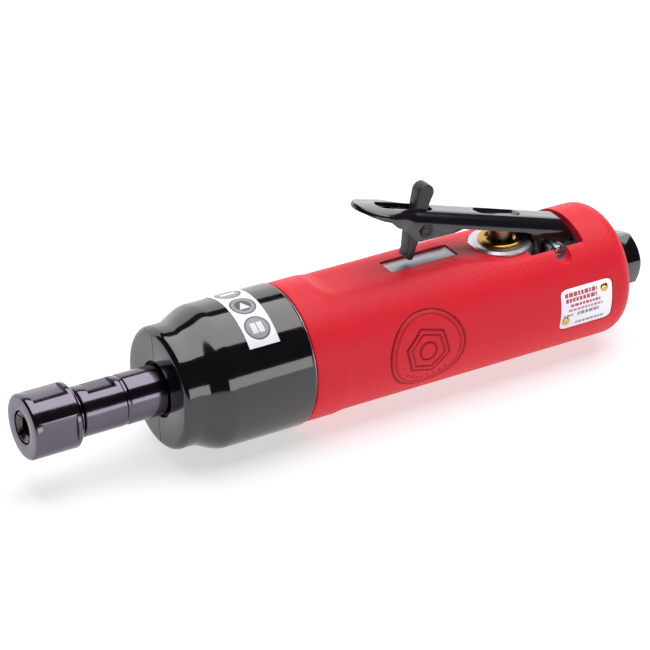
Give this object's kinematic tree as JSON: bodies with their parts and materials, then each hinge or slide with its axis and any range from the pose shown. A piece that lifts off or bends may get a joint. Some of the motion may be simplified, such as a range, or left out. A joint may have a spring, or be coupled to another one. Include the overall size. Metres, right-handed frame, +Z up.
{
  "type": "die grinder",
  "caption": "Straight geared air die grinder with a collet, a flared front housing, a rubber grip, and a throttle lever with a folding lock tab.",
  "frame": {"origin": "on the spindle axis, at the mouth of the collet and the front face of the nut", "axes": "-X out of the collet towards the work, +X along the body to the air inlet, +Z up through the throttle lever"},
  "size_m": [0.2289, 0.0476, 0.072],
  "materials": {
    "blackened_steel": "turned steel with a glossy black oxide finish",
    "hardened_steel": "ground and hardened tool steel",
    "ground_steel": "ground steel",
    "gear_steel": "hobbed alloy steel",
    "bearing_steel": "polished bearing steel",
    "brass_cage": "pressed brass",
    "black_enamel": "gloss black enamel on steel",
    "black_rubber": "moulded nitrile rubber",
    "cast_end_plate": "ground cast iron",
    "vane_laminate": "phenolic cloth laminate",
    "body_aluminium": "machined aluminium",
    "red_rubber": "moulded red rubber with a fine leather grain",
    "strip_aluminium": "satin aluminium strip",
    "plate_aluminium": "printed satin aluminium plate",
    "rivet_brass": "brass drive rivets",
    "label_film": "white printed label film",
    "valve_brass": "turned brass",
    "plunger_steel": "turned steel",
    "spring_steel": "drawn spring wire",
    "black_lacquer": "gloss black lacquer on pressed steel",
    "satin_black_steel": "satin black coating on steel",
    "deflector_plastic": "moulded black plastic"
  },
  "bodies": {
    "housing": {"front_housing": "black_enamel", "front_seal": "black_rubber", "bearing_spacer": "ground_steel", "spindle_outer_races": "bearing_steel", "ring_gear": "gear_steel", "front_end_plate": "cast_end_plate", "motor_cylinder": "cast_end_plate", "rear_end_plate": "cast_end_plate", "rotor_outer_races": "bearing_steel", "motor_housing": "body_aluminium", "grip_sleeve": "red_rubber", "wear_strip": "strip_aluminium", "nameplate": "plate_aluminium", "nameplate_rivets": "rivet_brass", "cover_label": "label_film", "valve_bush": "valve_brass", "valve_o_rings": "black_rubber", "valve_spring": "spring_steel", "lever_pin": "ground_steel", "inlet_bush": "black_enamel", "inlet_screen": "ground_steel", "exhaust_deflector": "deflector_plastic"},
    "spindle": {"output_spindle": "blackened_steel", "collet_nut": "blackened_steel", "collet": "hardened_steel", "planet_pins": "ground_steel", "carrier_plate": "gear_steel", "spindle_inner_races": "bearing_steel"},
    "spindle_cages": {"spindle_bearing_cages": "brass_cage", "spindle_bearing_balls": "bearing_steel"},
    "planet_1": {"planet_gear_1": "gear_steel"},
    "planet_2": {"planet_gear_2": "gear_steel"},
    "planet_3": {"planet_gear_3": "gear_steel"},
    "rotor": {"rotor": "gear_steel", "rotor_vanes": "vane_laminate", "rotor_inner_races": "bearing_steel"},
    "rotor_cages": {"rotor_bearing_cages": "brass_cage", "rotor_bearing_balls": "bearing_steel"},
    "lever": {"throttle_lever": "black_lacquer", "lock_tab_pin": "satin_black_steel", "lock_tab_spring": "spring_steel"},
    "lock_tab": {"lock_tab": "satin_black_steel"},
    "valve": {"valve_plunger": "plunger_steel"}
  },
  "joints": [
    {"name": "spindle_spin", "type": "hinge", "parent": "housing", "child": "spindle", "pos_m": [0.058, 0, 0], "axis": [1, 0, 0], "continuous": true},
    {"name": "spindle_cage_spin", "type": "hinge", "parent": "housing", "child": "spindle_cages", "pos_m": [0.058, 0, 0], "axis": [1, 0, 0], "continuous": true},
    {"name": "planet_spin_1", "type": "hinge", "parent": "spindle", "child": "planet_1", "pos_m": [0.0795, 0, 0.0108], "axis": [1, 0, 0], "continuous": true},
    {"name": "planet_spin_2", "type": "hinge", "parent": "spindle", "child": "planet_2", "pos_m": [0.0795, -0.00935, -0.0054], "axis": [1, 0, 0], "continuous": true},
    {"name": "planet_spin_3", "type": "hinge", "parent": "spindle", "child": "planet_3", "pos_m": [0.0795, 0.00935, -0.0054], "axis": [1, 0, 0], "continuous": true},
    {"name": "rotor_spin", "type": "hinge", "parent": "housing", "child": "rotor", "pos_m": [0.12, 0, 0], "axis": [1, 0, 0], "continuous": true},
    {"name": "rotor_cage_spin", "type": "hinge", "parent": "housing", "child": "rotor_cages", "pos_m": [0.12, 0, 0], "axis": [1, 0, 0], "continuous": true},
    {"name": "lever_press", "type": "hinge", "parent": "housing", "child": "lever", "pos_m": [0.1925, 0, 0.0162], "axis": [0, -1, 0], "range_deg": [0, 6], "stiffness_Nm_per_rad": 0.6, "springref_deg": -8.59},
    {"name": "lock_tab_fold", "type": "hinge", "parent": "lever", "child": "lock_tab", "pos_m": [0.1436, 0, 0.0342], "axis": [0, -1, 0], "range_deg": [0, 90.2]},
    {"name": "valve_slide", "type": "slide", "parent": "housing", "child": "valve", "axis": [0, 0, -1], "range_m": [0, 0.0021], "stiffness_N_per_m": 500, "springref_m": -0.004, "deforming": ["valve_spring"]}
  ],
  "couplings": [
    {"joint": "spindle_cage_spin", "follows": "spindle_spin", "ratio": 0.40846},
    {"joint": "planet_spin_1", "follows": "spindle_spin", "ratio": -2.8},
    {"joint": "planet_spin_2", "follows": "spindle_spin", "ratio": -2.8},
    {"joint": "planet_spin_3", "follows": "spindle_spin", "ratio": -2.8},
    {"joint": "rotor_spin", "follows": "spindle_spin", "ratio": 4.5},
    {"joint": "rotor_cage_spin", "follows": "spindle_spin", "ratio": 1.7145},
    {"joint": "lock_tab_fold", "follows": "lever_press", "ratio": 15},
    {"joint": "valve_slide", "follows": "lever_press", "m_per_rad": 0.0188}
  ]
}
